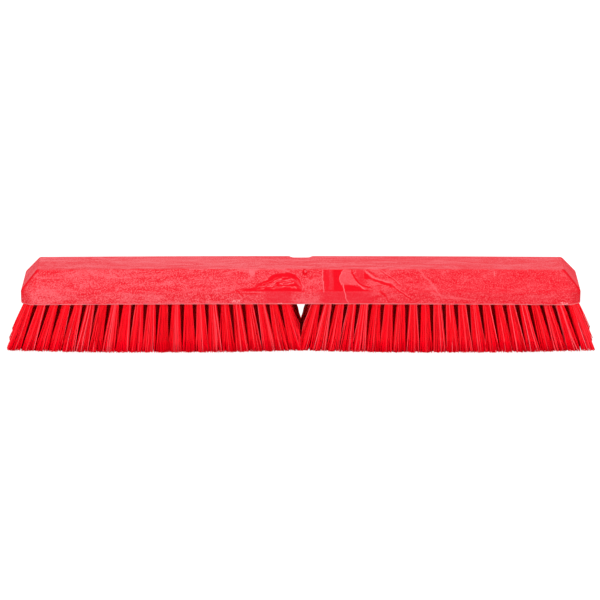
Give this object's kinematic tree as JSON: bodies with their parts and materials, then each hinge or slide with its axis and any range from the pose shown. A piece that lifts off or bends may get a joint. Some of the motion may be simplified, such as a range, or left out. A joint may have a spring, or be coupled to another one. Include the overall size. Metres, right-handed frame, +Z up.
{
  "type": "push broom head",
  "caption": "Push broom head: a long moulded block with sloped faces, staggered rows of splayed fibre tufts, and a threaded handle hole in the back slope.",
  "frame": {"origin": "on the surface the bristle tips rest on, under the middle of the block", "axes": "+X along the block, -Y is its front, +Z up; the handle hole leans towards +Y"},
  "size_m": [0.6403, 0.0762, 0.0936],
  "materials": {
    "block_plastic": "structural foam plastic, light red with swirls of deeper red and a fine grain",
    "bristle_fibre": "stiff red plastic monofilament, slightly glossy, with crimped and uneven tips",
    "anchor_wire": "drawn flat steel wire"
  },
  "bodies": {
    "root": {"block": "block_plastic", "tufts_row1_left": "bristle_fibre", "tufts_row1_right": "bristle_fibre", "tufts_row2_left": "bristle_fibre", "tufts_row2_right": "bristle_fibre", "tufts_row3_left": "bristle_fibre", "tufts_row3_right": "bristle_fibre", "tufts_row4_left": "bristle_fibre", "tufts_row4_right": "bristle_fibre", "tufts_row5_left": "bristle_fibre", "tufts_row5_right": "bristle_fibre", "anchors_row1_left": "anchor_wire", "anchors_row1_right": "anchor_wire", "anchors_row2_left": "anchor_wire", "anchors_row2_right": "anchor_wire", "anchors_row3_left": "anchor_wire", "anchors_row3_right": "anchor_wire", "anchors_row4_left": "anchor_wire", "anchors_row4_right": "anchor_wire", "anchors_row5_left": "anchor_wire", "anchors_row5_right": "anchor_wire"}
  },
  "joints": []
}
